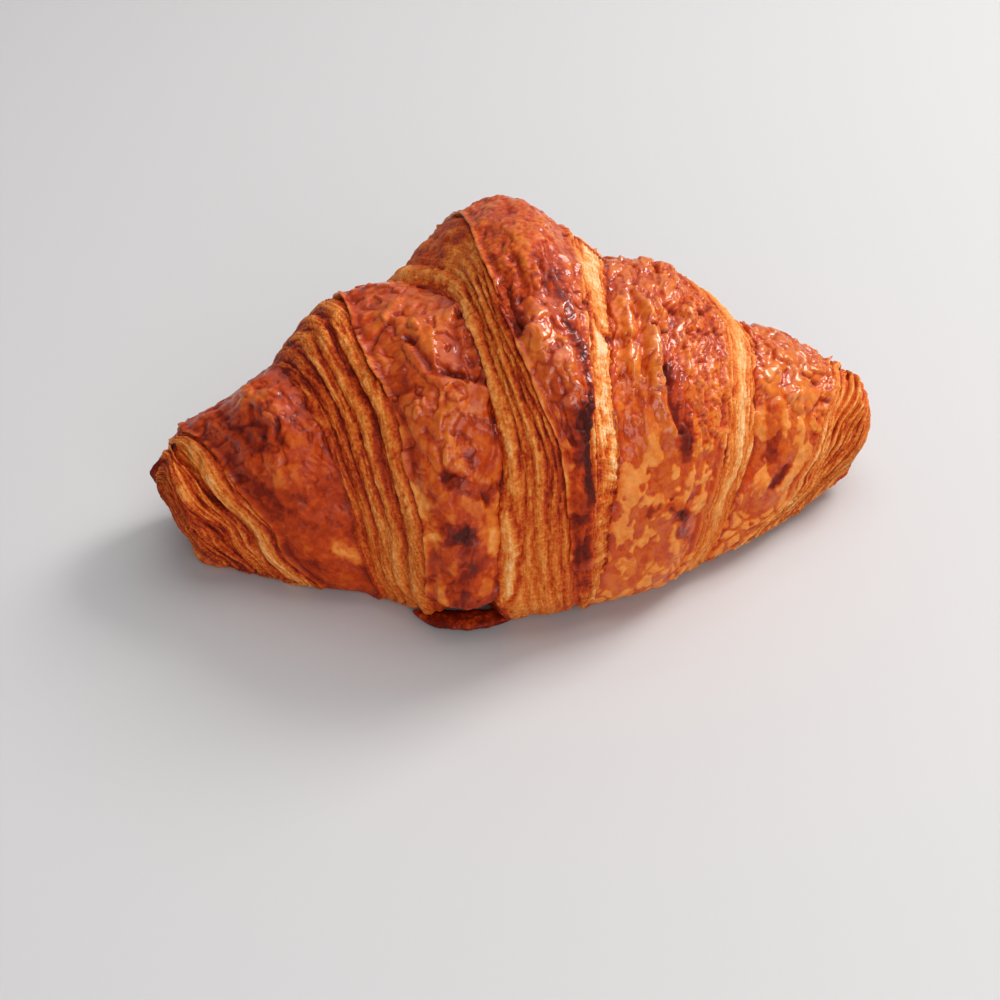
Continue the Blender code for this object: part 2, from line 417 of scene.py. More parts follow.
class Band(Skin):
    """A band between two of the dough's edges."""

    def __init__(self, band, across, around, ends, ragged=0.0, seed=0):
        angles = column_angles(band, around)
        along = from_top(band, angles)
        shares = np.linspace(0.0, 1.0, 9)[:, None]
        strip = band_points(band, shares, angles)
        self.width = np.linalg.norm(np.diff(strip, axis=0), axis=2).sum(axis=0)
        widest = np.interp(60.0, angles, self.width)
        first = 0.0 if ends[0] == "lip" else -self.TUCK / widest
        last = 1.0 if ends[1] == "lip" else 1.0 + self.TUCK / widest
        self.share = np.linspace(first, last, int(widest / across) + 1)[:, None] + 0.0 * angles
        wave = together(along, 0.0, 31.0 * band)
        left = ragged * rough(wave, 8.0, seed + 1) / self.width * (1.0 - self.share)
        right = ragged * rough(wave, 8.0, seed + 2) / self.width * self.share
        base = band_points(band, self.share + left + right, angles) + CENTRING
        self.unit_across = self.width
        spine = base.mean(axis=1, keepdims=True)
        self.start(base, self.share * self.width, angles, along, ends, 40.0 * band, spine)
        # Where the band is too narrow for a slope of its own, it faces straight away from the spine.
        narrow = smooth_step((4.0 - self.width) / 2.5)[:, None]
        radial = unit_rows((base - spine) * np.array([0.0, 1.0, 1.0]))
        self.normal = unit_rows(self.normal * (1.0 - narrow) + radial * narrow)
        self.from_left = self.s
        self.from_right = (1.0 - self.share) * self.width
        for kind, inside in zip(ends, (self.from_left, self.from_right)):
            if kind == "tuck":
                self.relief -= self.TUCK_DEPTH * smooth_step(-inside / self.TUCK)


class Tip(Skin):
    """A tip of the roll: rows go from the crust's edge over the dough's ends to the tip's very end."""

    ROWS = 130
    SMOOTHINGS = 30

    def __init__(self, band, skin_share, cores, end, around):
        angles = column_angles(band, around)
        along = from_top(band, angles)
        shares = np.linspace(skin_share, 1.0 - skin_share, 4)
        rings = [band_points(band, share, angles) for share in shares]
        inwards = np.array([-np.sign(end[0]) * self.TUCK, 0.0, 0.0])
        rings = [rings[0] + inwards] + rings
        rings += [core_ring(core, angles) for core in cores]
        rings.append(np.zeros_like(rings[0]) + np.array(end))
        rings = np.array(rings) + CENTRING
        base = np.empty((self.ROWS, len(angles), 3))
        s = np.empty((self.ROWS, len(angles)))
        # Each column is walked at an even pace from the crust to the very end.
        for column in range(len(angles)):
            knots = rings[:, column]
            steps = np.maximum(np.linalg.norm(np.diff(knots, axis=0), axis=1), 0.05)
            places = np.concatenate([[0.0], np.cumsum(steps)]) - self.TUCK
            s[:, column] = np.linspace(places[0], places[-1], self.ROWS)
            for axis in range(3):
                base[:, column, axis] = np.interp(s[:, column], places, knots[:, axis])
        for _ in range(self.SMOOTHINGS):
            base[1:-1] = (base[:-2] + 2.0 * base[1:-1] + base[2:]) / 4.0
        self.unit_across = 1.0
        self.to_end = s[-1] - s
        inside = base[0].mean(axis=0) * np.array([0.85, 1.0, 1.0])
        self.start(base, s, angles, along, ("tuck", "point"), 40.0 * band, inside)
        self.relief -= self.TUCK_DEPTH * smooth_step(-s / self.TUCK)


def core_ring(core, angles):
    """An oval section of the roll's inner turns, which stick out of a tip."""
    place, forward, middle, half_width, half_height, low_shift = core
    up = np.sin(np.radians(angles))
    x = place + low_shift * (1.0 - up) / 2.0
    y = forward - half_width * np.cos(np.radians(angles))
    return together(x, y, middle + half_height * up)


def sewn_grid(name, points, values, material):
    """A grid primitive is laid along rows of points, sewn where it meets itself, and turned to face out."""
    rows, columns = points.shape[:2]
    bpy.ops.object.select_all(action="DESELECT")
    bpy.ops.mesh.primitive_grid_add(x_subdivisions=columns - 1, y_subdivisions=rows - 1, size=1.0)
    piece = bpy.context.object
    piece.name = name
    mesh = piece.data
    mesh.name = name
    mesh.uv_layers[0].name = "OFBake"
    mesh.vertices.foreach_set("co", points.reshape(-1).astype(np.float32))
    for index, attribute in enumerate(("bake", "gloss", "fibre")):
        layer = mesh.attributes.new(attribute, "FLOAT", "POINT")
        layer.data.foreach_set("value", values[..., index].reshape(-1).astype(np.float32))
    strand = mesh.attributes.new("strand", "FLOAT_VECTOR", "POINT")
    strand.data.foreach_set("vector", values[..., 3:6].reshape(-1).astype(np.float32))
    bpy.ops.object.mode_set(mode="EDIT")
    bpy.ops.mesh.select_all(action="SELECT")
    bpy.ops.mesh.remove_doubles(threshold=SEW_DISTANCE)
    bpy.ops.mesh.normals_make_consistent(inside=False)
    bpy.ops.object.mode_set(mode="OBJECT")
    bpy.ops.object.shade_smooth()
    mesh.materials.append(material)
    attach(piece, "root")
    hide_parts("croissant")
    return piece


# ---------------------------------------------------------------- materials


class Link:
    """A socket of a material, with the arithmetic that adds Math nodes."""

    def __init__(self, made, socket):
        self.made = made
        self.socket = socket

    def math(self, operation, *values):
        return self.made.node("ShaderNodeMath", dict(operation=operation), dict(enumerate(values)))

    def __add__(self, other):
        return self.math("ADD", self, other)

    def __radd__(self, other):
        return self.math("ADD", other, self)

    def __sub__(self, other):
        return self.math("SUBTRACT", self, other)

    def __rsub__(self, other):
        return self.math("SUBTRACT", other, self)

    def __mul__(self, other):
        return self.math("MULTIPLY", self, other)

    def __rmul__(self, other):
        return self.math("MULTIPLY", other, self)

    def clamped(self):
        return self.made.node("ShaderNodeClamp", {}, {0: self})


class Made:
    """A material being made."""

    def __init__(self, name):
        self.material = bpy.data.materials.new(name)
        self.material.use_nodes = True
        self.tree = self.material.node_tree
        self.shader = self.tree.nodes["Principled BSDF"]

    def put(self, socket, value):
        if isinstance(value, Link):
            self.tree.links.new(value.socket, socket)
        else:
            socket.default_value = value

    def node(self, kind, settings, values, output=0):
        """A node with its settings made first, then the values or links of its sockets."""
        node = self.tree.nodes.new(kind)
        for setting, value in settings.items():
            if setting == "stops":
                ramp = node.color_ramp
                while len(ramp.elements) < len(value):
                    ramp.elements.new(1.0)
                for element, (place, colour) in zip(ramp.elements, value):
                    element.position = place
                    element.color = colour
            else:
                setattr(node, setting, value)
        for socket, value in values.items():
            self.put(node.inputs[socket], value)
        return Link(self, node.outputs[output])

    def attribute(self, name, output="Fac"):
        return self.node("ShaderNodeAttribute", dict(attribute_name=name), {}, output)

    def noise(self, vector, scale, detail=2.0, seed_shift=0.0):
        moved = self.node("ShaderNodeVectorMath", dict(operation="ADD"), {0: vector, 1: (seed_shift, 0.0, 0.0)})
        return self.node(
            "ShaderNodeTexNoise",
            dict(noise_dimensions="3D"),
            {"Vector": moved, "Scale": scale, "Detail": detail, "Roughness": 0.55},
        )

    def object_place(self):
        return self.node("ShaderNodeTexCoord", {}, {}, "Object")

    def scaled(self, vector, scale):
        return self.node("ShaderNodeVectorMath", dict(operation="MULTIPLY"), {0: vector, 1: scale})

    def bump(self, height, strength, distance):
        return self.node("ShaderNodeBump", {}, {"Height": height, "Strength": strength, "Distance": distance})

    def surface(self, **values):
        for name, value in values.items():
            self.put(self.shader.inputs[name.replace("_", " ")], value)
        return self.material


def linear(red, green, blue):
    """A colour as it looks on a screen, 0 to 255, made a shader's colour."""
    shares = np.array([red, green, blue]) / 255.0
    shares = np.where(shares <= 0.04045, shares / 12.92, ((shares + 0.055) / 1.055) ** 2.4)
    return tuple(shares.tolist())


def browned(made, value, settings):
    """The colours of baking, from pale dough at 0 to burnt at 1."""
    colours = (settings.pale, settings.golden, settings.amber, settings.russet, settings.brown, settings.burnt)
    places = (0.0, 0.2, 0.38, 0.58, 0.78, 1.0)
    stops = [(place, (*colour, 1.0)) for place, colour in zip(places, colours)]
    return made.node("ShaderNodeValToRGB", dict(stops=stops), {"Fac": value})


def glazed_crust(settings):
    """Smooth browned crust with an egg glaze."""
    made = Made("glazed crust")
    place = made.object_place()
    bake, gloss, fibre = (made.attribute(kind) for kind in ("bake", "gloss", "fibre"))
    mottle = made.noise(place, 420.0, 4.0) - 0.5
    fleck = ((made.noise(place, 560.0, 4.0, seed_shift=7.0) - 0.5) * 7.0 + 0.5).clamped() - 0.5
    speckle = made.noise(place, 1300.0, 3.0) - 0.5
    value = bake + settings.browning + mottle * 0.12 + fleck * 0.07 + speckle * (0.10 + fibre * 0.6)
    height = speckle * (0.14 + fibre * 0.9) + mottle * 0.35 - fleck * 0.07
    shine = gloss * settings.glaze
    return made.surface(
        Base_Color=browned(made, value.clamped(), settings),
        Roughness=(0.60 - shine * 0.30 + speckle * 0.3).clamped(),
        Specular_IOR_Level=0.14,
        Coat_Weight=(shine * 1.1 - 0.50 + mottle * 0.7).clamped(),
        Coat_Roughness=0.10,
        Normal=made.bump(height, 0.6, 0.0004),
    )


def layered_dough(settings):
    """Dry layers: granular, with fine strands along the sheets."""
    made = Made("layered dough")
    place = made.object_place()
    bake, gloss, fibre = (made.attribute(kind) for kind in ("bake", "gloss", "fibre"))
    strand = made.attribute("strand", "Vector")
    mottle = made.noise(place, 330.0, 3.0) - 0.5
    grit = made.noise(place, 1600.0, 3.0) - 0.5
    hair = made.noise(made.scaled(strand, (2.6, 0.30, 1.0)), 1.0, 4.0) - 0.5
    value = bake + settings.browning + mottle * 0.15 + grit * 0.50 + hair * fibre * 0.50 - 0.05
    height = hair * fibre * 0.7 + grit * 0.9 + mottle * 0.2
    return made.surface(
        Base_Color=browned(made, value.clamped(), settings),
        Roughness=(0.62 - gloss * 0.3 + grit * 0.3).clamped(),
        Specular_IOR_Level=0.15,
        Normal=made.bump(height, 0.8, 0.0005),
    )


MAKERS = {"crust": glazed_crust, "layers": layered_dough}
MATERIALS = {}


def material(name):
    if name not in MATERIALS:
        MATERIALS[name] = MAKERS[name](bpy.context.scene.croissant_baking)
    return MATERIALS[name]


# ---------------------------------------------------------------- crusts

# How each crust is. Heights and sizes are in millimetres: slow lumps, and puffed pads with creases between them
# above the "wrinkled_from" angle. "free" sides are lips. "calm" takes wrinkles off the very top. "blot" is how
# much darker the blots low down are, and "tan" how much paler the smooth patches there. "bran" lists dry,
# granular stretches: shares from and to, angles from and to, and strength. "islands" are pale dry patches:
# highest angle, size and how rare they are. "tail" is where the crust's lower end lies: angle, drop below it,
# and browning of the layers below. Strokes are (place across, angle) points, width, browning, gloss and relief.
CRUSTS = (
    dict(
        name="left tip crust", band=1, free=("left",), seed=20,
        lump=0.9, wrinkle=1.5, wrinkle_size=6.0, stretch=1.5, wrinkled_from=30.0, calm=0.3,
        bake=0.61, gloss=0.78, blot=0.06, tan=0.0,
        strokes=(
            (((0.06, 52), (0.12, 36), (0.18, 22), (0.14, 10)), 2.0, 0.14, -0.2, -0.5),
            # Painted highlight: these two raised, glossy lumps are also painted paler.
            (((0.54, 86), (0.6, 59)), 2.6, -0.10, 0.2, 0.9),
            (((0.44, 38), (0.44, 26)), 2.2, -0.10, 0.2, 0.8),
            (((0.3, 60), (0.36, 46), (0.3, 34)), 0.9, 0.14, -0.2, -0.6),
            (((0.7, -3), (0.9, -8)), 1.6, -0.24, -0.1, 0.2),
            (((0.5, 68), (0.42, 60), (0.5, 52), (0.4, 45)), 0.7, 0.16, -0.4, -0.5),
            (((0.64, 52), (0.55, 44), (0.62, 37)), 0.7, 0.16, -0.4, -0.4),
            (((0.22, 72), (0.3, 63)), 0.7, 0.15, -0.4, -0.3),
        ),
    ),
    dict(
        name="left shoulder crust", band=3, free=("left",), seed=51,
        lump=0.8, wrinkle=2.8, wrinkle_size=7.4, stretch=1.6, wrinkled_from=32.0, calm=0.3,
        bake=0.53, gloss=0.96, blot=0.12, tan=0.12, tail=(-15.0, 1.3, 0.74),
        strokes=(
            (((0.42, 70), (0.5, 57), (0.76, 54), (0.98, 49)), 0.9, 0.20, -0.2, -1.0),
            (((0.38, 26), (0.6, 22), (0.86, 17)), 1.8, 0.24, -0.1, -0.5),
            (((0.18, 13), (0.32, 8), (0.58, 7)), 2.2, 0.24, 0.0, -0.4),
            (((0.58, 7), (0.54, 0), (0.38, -7)), 2.4, 0.22, 0.1, -0.2),
            (((0.04, 22), (0.1, 8)), 1.3, -0.26, -0.4, 0.3),
            (((0.44, 36), (0.5, 30)), 2.0, -0.12, 0.1, 0.6),
            (((0.9, 12), (0.95, 0)), 1.6, -0.22, -0.4, 0.3),
        ),
    ),
    dict(
        name="top crust", band=5, free=("left", "right"), seed=82,
        lump=0.9, wrinkle=1.7, wrinkle_size=6.5, stretch=1.7, wrinkled_from=24.0, calm=0.35,
        bake=0.50, gloss=1.0, blot=0.10, tan=0.10, tail=(-3.0, 2.2, 0.34),
        bran=((0.0, 1.1, 66.0, 200.0, 0.45), (0.72, 1.1, 30.0, 66.0, 0.6)),
        strokes=(
            (((0.68, 72), (0.76, 62), (0.82, 53), (0.84, 41), (0.86, 30), (0.8, 22)), 1.5, 0.14, -0.05, 0.3),
            (((0.9, 52), (0.91, 40), (0.91, 26), (0.88, 12)), 1.2, 0.24, 0.2, 0.1),
            (((0.74, 33), (0.64, 20), (0.52, 8), (0.5, 0)), 3.4, 0.25, -0.7, 0.0),
            (((0.25, 24), (0.2, 14)), 1.8, -0.16, -0.3, 0.4),
            (((0.62, 78), (0.68, 66)), 3.6, 0.10, -0.2, -0.3),
            (((0.06, 68), (0.05, 58)), 2.2, 0.34, -0.3, -1.6),
            (((0.27, 78), (0.3, 66)), 1.3, 0.12, -0.3, -0.9),
            (((0.3, 56), (0.4, 46), (0.45, 38)), 2.6, 0.02, 0.3, 1.3),
            (((0.6, 50), (0.66, 42), (0.7, 34)), 1.8, 0.02, 0.3, 1.2),
        ),
    ),
    dict(
        name="right shoulder crust", band=7, free=("right",), seed=113,
        lump=0.8, wrinkle=2.6, wrinkle_size=5.0, stretch=2.4, wrinkled_from=34.0, calm=0.15,
        bake=0.46, gloss=1.1, blot=0.07, tan=0.0, islands=(26.0, 5.0, 0.02),
        bran=((0.62, 1.1, 24.0, 200.0, 0.7),),
        strokes=(
            # Painted highlight: these two raised folds are also painted a little paler.
            (((0.28, 81), (0.34, 66), (0.34, 51), (0.38, 40), (0.44, 30)), 1.5, -0.04, 0.2, 1.5),
            (((0.12, 78), (0.16, 62), (0.16, 50)), 1.4, -0.04, 0.2, 1.2),
            (((0.20, 80), (0.25, 64), (0.26, 48)), 0.8, 0.10, -0.1, -0.8),
            (((0.36, 81), (0.43, 66), (0.43, 51)), 0.8, 0.12, -0.2, -1.1),
            (((0.43, 51), (0.47, 40), (0.52, 30)), 0.8, 0.16, -0.5, -1.0),
            (((0.50, 50), (0.54, 38), (0.56, 28)), 2.6, 0.17, -0.2, 0.7),
            (((0.57, 29), (0.59, 24)), 1.7, 0.26, -0.4, 0.3),
            (((0.78, 8), (0.70, 2), (0.84, -4)), 1.5, 0.20, 0.0, 0.0),
            (((0.34, 65), (0.48, 65)), 0.5, 0.45, -0.3, -1.2),
            (((0.36, 5), (0.56, 7), (0.78, 2)), 1.2, 0.24, -0.1, -0.2),
        ),
    ),
    dict(
        name="right tip crust", band=9, free=("right",), seed=144,
        lump=0.8, wrinkle=2.6, wrinkle_size=6.2, stretch=1.3, wrinkled_from=40.0, calm=0.1,
        bake=0.45, gloss=1.1, blot=0.07, tan=0.0, islands=(34.0, 6.0, -0.06),
        bran=((0.86, 1.1, 20.0, 200.0, 0.6),),
        strokes=(
            (((0.26, 34), (0.28, 24), (0.3, 14)), 1.9, 0.24, -0.2, 0.3),
            (((0.60, 8), (0.57, 2)), 1.4, 0.28, -0.3, -0.1),
            (((0.6, 62), (0.8, 60)), 0.5, 0.30, -0.2, -1.0),
        ),
    ),
)
CRUST_SPACING = 0.3  # between the grid's points
SMALL_PIT = 1.2
DULLER_FROM = 112.0  # behind this angle the glaze is thinner


def pads(skin, size, stretch, seed):
    """Puffed pads about 1 high, with creases between them that open and close again."""
    flow = skin.bent(size, stretch, 0.4, 1.8, seed)
    opened = smooth_step(0.62 + 1.1 * rough(skin.base, 1.7 * size, seed + 3))
    return 1.0 - opened * hump(grain(flow, size, seed + 2), 0.17)


def shelves(skin, size, stretch, steps, seed):
    """Smooth plateaus with steep steps between them: height in steps, and 1 on a step's face and its foot."""
    value = steps * rough(skin.bent(size, stretch, 0.3, 1.2, seed), size, seed + 2, 3)
    part = value - np.floor(value)
    from_step = np.where(part > 0.5, part - 1.0, part)
    face = hump(from_step - 0.08, 0.09)
    foot = hump(from_step + 0.03, 0.07)
    return np.floor(value) + smooth_step(part / 0.14) + 0.25 * (part - 0.5), face, foot


def add_bran(skin, seed, share, patches):
    """Dry stretches, rough, with sunk pits painted darker as shade and raised grains painted paler."""
    ragged = 0.07 * rough(skin.base, 5.0, seed)
    grit = rough(skin.base, 1.7, seed + 1, 2)
    pit = smooth_step((grain(skin.base, SMALL_PIT, seed + 2) - 0.22) / 0.25)
    for low, high, from_angle, to_angle, strength in patches:
        dry = strength * window(share + ragged, low, high, 0.06)
        dry = dry * window(skin.angle + 60.0 * ragged, from_angle, to_angle, 10.0)
        skin.fibre = np.maximum(skin.fibre, dry)
        skin.relief += dry * (0.35 * grit - 0.22 * pit)
        skin.bake += dry * (0.22 * pit - 0.12 * grit)
        skin.gloss -= 0.35 * dry


def add_islands(skin, seed, tone, highest, size, level):
    """Pale dry patches with crisp edges, on a darker, smoother ground. They close up towards the foot."""
    flow = skin.flow(1.25)
    lower = smooth_step((highest - skin.angle) / 16.0 + 0.5 + 0.4 * rough(skin.base, 9.0, seed))
    shape = rough(flow, size, seed + 1, 3) + 0.4 * rough(flow, 2.2 * size, seed + 2, 1)
    close = smooth_step((highest - 22.0 - skin.angle) / 20.0)
    blobs = smooth_step((shape - level - 0.12 + 0.3 * close) / 0.05 + 0.5)
    bend = [0.25 * size * rough(skin.base, 3.0, seed + number) for number in (3, 4)]
    inside = plates((skin.s + bend[0]) / (0.8 * size), (skin.r + bend[1]) / (0.8 * size), seed + 5)
    gaps = smooth_step((inside - 0.15) / 0.06)
    island = blobs * (1.0 - close * (1.0 - gaps)) * smooth_step(2.0 * lower)
    ground = tone + 0.09 + 0.05 * rough(skin.base, 7.0, seed + 6)
    skin.bake += 0.8 * lower * (ground - skin.bake)
    pale = tone - 0.15 + 0.04 * rough(skin.base, 5.0, seed + 7)
    skin.bake += island * (pale - skin.bake)
    skin.relief += 0.26 * island
    skin.gloss -= 0.3 * island


def add_tail(skin, seed, share, tail):
    """The crust's rounded lower end, and layers of dough below it."""
    end_angle, drop, tone = tail
    from_middle = np.abs(2.0 * share - 1.0)
    in_front = skin.angle < 90.0
    end = np.interp(end_angle, skin.angles, skin.along) + 2.2 * from_middle**4
    below = end + 0.6 * rough(skin.base, 3.0, seed) - skin.r
    bare = smooth_step(below / 0.7) * in_front
    lines = grain(skin.flow(9.0), 1.3, seed + 1)
    layers = tone + 0.34 * lines + 0.16 * rough(skin.base, 4.0, seed + 2)
    skin.bake += bare * (layers - skin.bake)
    skin.gloss += bare * (0.1 - skin.gloss)
    skin.fibre += bare * (1.0 - skin.fibre)
    diving = smooth_step((from_middle - 0.5) / 0.5)
    skin.relief -= bare * (drop + 0.4 * np.abs(lines) + 0.5 * rough(skin.base, 5.0, seed + 3) + diving)
    skin.relief -= 2.5 * bare * window(skin.angle, -64.0, -22.0, 12.0)
    # Painted shade: the layers are darker where they dive deeper under the crust's sides.
    skin.bake += bare * 0.2 * diving
    brink = hump(below + 0.8, 1.0) * in_front
    skin.bake += 0.10 * brink
    skin.relief += 0.3 * brink


def crust_piece(look, settings):
    """A crust's relief, and how brown, glossy and dry each place is."""
    seed, free = look["seed"], look["free"]
    ends = tuple("lip" if side in free else "tuck" for side in ("left", "right"))
    band = Band(look["band"], CRUST_SPACING, CRUST_SPACING, ends, ragged=0.6, seed=seed)
    place = band.base
    wrinkle = look["wrinkle"] * settings.wrinkle_height / MM
    folded = np.minimum(band.angle, 2.0 * TOP_AT - band.angle)
    upper = smooth_step((folded - look["wrinkled_from"]) / 30.0 + 0.6 + 0.5 * rough(place, 12.0, seed + 2))
    calm = 1.0 - look["calm"] * window(band.angle, 83.0, 128.0, 22.0)
    lively = (0.22 + 0.78 * upper) * smooth_step(0.9 + 0.8 * rough(place, 15.0, seed + 3)) * calm
    size, stretch = look["wrinkle_size"], look["stretch"]
    height, face, foot = shelves(band, size, stretch, 2.3, seed + 5)
    hill = 0.6 * pads(band, 1.2 * size, stretch, seed + 25) + 0.4 * pads(band, 0.6 * size, stretch, seed + 45)
    band.relief += look["lump"] * rough(place, 11.0, seed + 60, 2)
    band.relief += wrinkle * lively * (0.30 * height + 0.60 * (hill - 0.8))
    band.relief += 0.16 * lively * rough(place, 2.6, seed + 61, 1) + 0.05 * rough(place, 1.4, seed + 65, 2)
    patch, mottle = rough(place, 10.0, seed + 62), rough(place, 3.2, seed + 63)
    lower = 1.0 - 0.75 * upper
    blots = smooth_step(0.5 + 9.0 * rough(band.flow(1.3), 5.0, seed + 64, 4))
    scabs = smooth_step((rough(band.flow(0.8), 6.0, seed + 66, 4) - 0.16) / 0.04 + 0.5)
    tan = smooth_step((rough(band.flow(1.8), 5.5, seed + 68, 3) - 0.34) / 0.05 + 0.5)
    # Painted shade and light: the creases between pads (deep) and the feet and faces of the steps are painted
    # darker, and higher shelves paler, where shade and light would fall on the relief.
    deep = np.clip(0.8 - hill, 0.0, 1.0) * (0.25 + 0.75 * lively)
    band.bake[:] = look["bake"] + 0.36 * deep + 0.05 * patch + 0.03 * mottle
    band.bake += lively * (0.05 * face + 0.13 * foot - 0.05 * height)
    band.bake += lower * (look["blot"] * (blots - 0.5) + 0.9 * look["blot"] * scabs - look["tan"] * tan)
    band.relief += lower * (0.16 * tan - 0.12 * blots - 0.16 * scabs)
    band.gloss[:] = look["gloss"] + 0.25 * patch - 0.6 * deep + 0.25 * mottle - 0.38 * lower
    band.gloss += lively * (0.35 * face - 0.2 * foot)
    band.gloss -= 0.25 * smooth_step((band.angle - DULLER_FROM) / 25.0)
    if "islands" in look:
        add_islands(band, seed + 70, look["bake"], *look["islands"])
    add_bran(band, seed + 80, band.share, look.get("bran", ()))
    band.marked(look["strokes"])
    for side, inside in (("left", band.from_left), ("right", band.from_right)):
        inside = np.maximum(inside, 0.0)
        if side in free:
            # Painted highlight and shade: the raised rim at a free edge is painted paler and the dip behind it
            # darker.
            band.bake += 0.08 * hump(inside - 1.2, 0.6) - 0.14 * hump(inside, 0.45)
            band.relief += 0.4 * hump(inside, 0.7) - 0.25 * hump(inside - 1.4, 0.6)
        else:
            # Painted shade: darker near the edge where the crust dives under the next piece.
            band.bake += 0.16 * hump(inside, 1.1)
            band.relief += 0.5 * hump(inside, 1.5)
    if "tail" in look:
        add_tail(band, seed + 90, np.clip(band.share, 0.0, 1.0), look["tail"])
    return band


# ---------------------------------------------------------------- stacks of layers

# Each stack's ridges from the left edge to the right one: share of the width, bulge and browning; the dark
# browning of the grooves (negative bulge) is painted shade. "foot" is the side where the stack stands on the
# next crust. "flatter" is how much lower the ridges are over the top.
# "plain" is where they give way to smooth dough there: from which angle, and its browning. "crosswise" is where
# the fibres run across: shares from and to.
STACKS = (
    dict(
        name="left shoulder layers", band=2, foot="left", seed=301, flatter=0.4,
        ridges=(
            (0.10, 0.3, 0.62), (0.05, -0.4, 0.82), (0.10, 0.4, 0.60), (0.06, -0.4, 0.84), (0.13, 0.8, 0.48),
            (0.06, -0.5, 0.76), (0.16, 1.2, 0.38), (0.09, -0.8, 0.82), (0.19, 1.4, 0.33), (0.06, -0.3, 0.68),
        ),
        strokes=(
            (((0.3, 8), (0.5, 0), (0.7, -8)), 3.0, -0.08, 0.0, 0.0),
        ),
    ),
    dict(
        name="top left layers", band=4, foot="left", seed=402, plain=(74.0, 0.37),
        ridges=(
            (0.06, 0.1, 0.76), (0.27, 1.3, 0.32), (0.05, -0.4, 0.68), (0.09, 0.4, 0.44), (0.05, -0.3, 0.68),
            (0.15, 0.9, 0.37), (0.06, -0.5, 0.74), (0.08, 0.3, 0.52), (0.06, -0.4, 0.80), (0.08, 0.2, 0.58),
            (0.05, -0.5, 0.84),
        ),
        strokes=(
            (((0.10, 9), (0.17, 0), (0.14, -8), (0.05, -16)), 1.5, -0.14, 0.1, 0.8),
            (((0.18, 14), (0.28, 0), (0.25, -8), (0.14, -17)), 0.6, 0.30, 0.0, -0.7),
        ),
    ),
    dict(
        name="top right layers", band=6, foot="right", seed=503, crosswise=(0.18, 0.95),
        ridges=(
            (0.05, 0.3, 0.46), (0.03, -0.3, 0.58), (0.07, 0.4, 0.30), (0.03, -0.3, 0.50), (0.80, 0.5, 0.05),
            (0.02, -0.2, 0.50), (0.05, 0.3, 0.36),
        ),
        strokes=(
            (((0.3, 104), (0.8, 104)), 2.2, 0.40, 0.2, 0.0),
            (((0.15, 67), (0.5, 63), (0.85, 60)), 1.5, 0.30, 0.1, -0.6),
            (((0.25, 60), (0.35, 50), (0.4, 42)), 1.5, 0.26, 0.0, -0.3),
            (((0.75, 40), (0.7, 26)), 1.0, 0.20, 0.0, -0.2),
            (((0.4, 36), (0.5, 33)), 1.0, 0.30, 0.0, -0.3),
            (((0.5, 22), (0.55, 6), (0.55, -8)), 4.0, 0.14, 0.0, 0.0),
            (((0.5, 60), (0.5, 32)), 6.0, -0.08, 0.0, 0.0),
        ),
    ),
    dict(
        name="right shoulder layers", band=8, foot="right", seed=604,
        ridges=(
            (0.08, 0.3, 0.46), (0.04, -0.3, 0.64), (0.10, 0.4, 0.40), (0.04, -0.4, 0.60), (0.46, 1.1, 0.20),
            (0.05, -0.4, 0.60), (0.09, 0.4, 0.36), (0.04, -0.2, 0.58), (0.08, 0.3, 0.40), (0.06, -0.3, 0.62),
        ),
        strokes=(
            (((0.5, 62), (0.5, 30)), 6.0, -0.09, 0.0, 0.0),
        ),
    ),
)
STACK_SPACING = (0.21, 0.36)  # across and round
LAYER_GLOSS = 0.25


def add_ridges(skin, at, ends, ridges, seed, depth, flatter=0.0):
    """Rope-like ridges and grooves between the given ends, which swell and thin out as they wind round."""
    round_way = together(skin.r, 0.0, 0.0)
    widths = ends[1:] - ends[:-1]
    knots = together(ends[:-1] + 0.28 * widths, ends[1:] - 0.28 * widths).reshape(-1)
    # Painted shade and light: grooves (negative bulge) take the dark tones, and below, deeper grooves are
    # painted darker and higher ridges paler.
    tones = np.repeat([tone for _, _, tone in ridges], 2) - 0.5
    tones = 0.5 + np.where(tones < 0.0, 0.72, 0.84) * tones
    skin.bake[:] = np.interp(at, knots, tones)
    softened = 0.6 + 0.4 * smooth_step(skin.angle / 40.0)
    softened = softened * (1.0 - flatter * window(skin.angle, 64.0, 130.0, 26.0))
    knobs = 0.5 * rough(skin.base, 4.0, seed + 19, 2)
    for number, (low, high) in enumerate(zip(ends[:-1], ends[1:])):
        inside = np.clip((at - low) / (high - low), 0.0, 1.0)
        swell = 0.8 + 0.8 * rough(round_way, 13.0, seed + 20 + number, 2) + knobs
        bead = np.sin(np.pi * inside) ** 0.6
        bulge = ridges[number][1]
        skin.relief += depth * bulge * np.clip(swell, 0.15, 1.6) * bead * softened
        skin.bake += (0.14 if bulge > 0.0 else -0.10) * (0.8 - swell) * bead


def add_sheets(skin, at_mm, seed, strength):
    """Thin sheets that run along the turns: sunk seams painted dark as shade, and raised threads painted bright
    as a painted highlight.
    """
    flow = together(at_mm, skin.r / 17.0, 3.0 * seed)
    seam = hump(grain(flow, 1.25, seed), 0.12)
    slanted = flow + together(skin.r / 5.0, 0.0, 0.0)
    thread = np.maximum(hump(grain(flow, 1.7, seed + 1), 0.09), hump(grain(slanted, 2.6, seed + 2), 0.06))
    skin.bake += strength * (0.26 * seam - 0.24 * thread)
    skin.relief += strength * (0.26 * thread - 0.26 * seam)


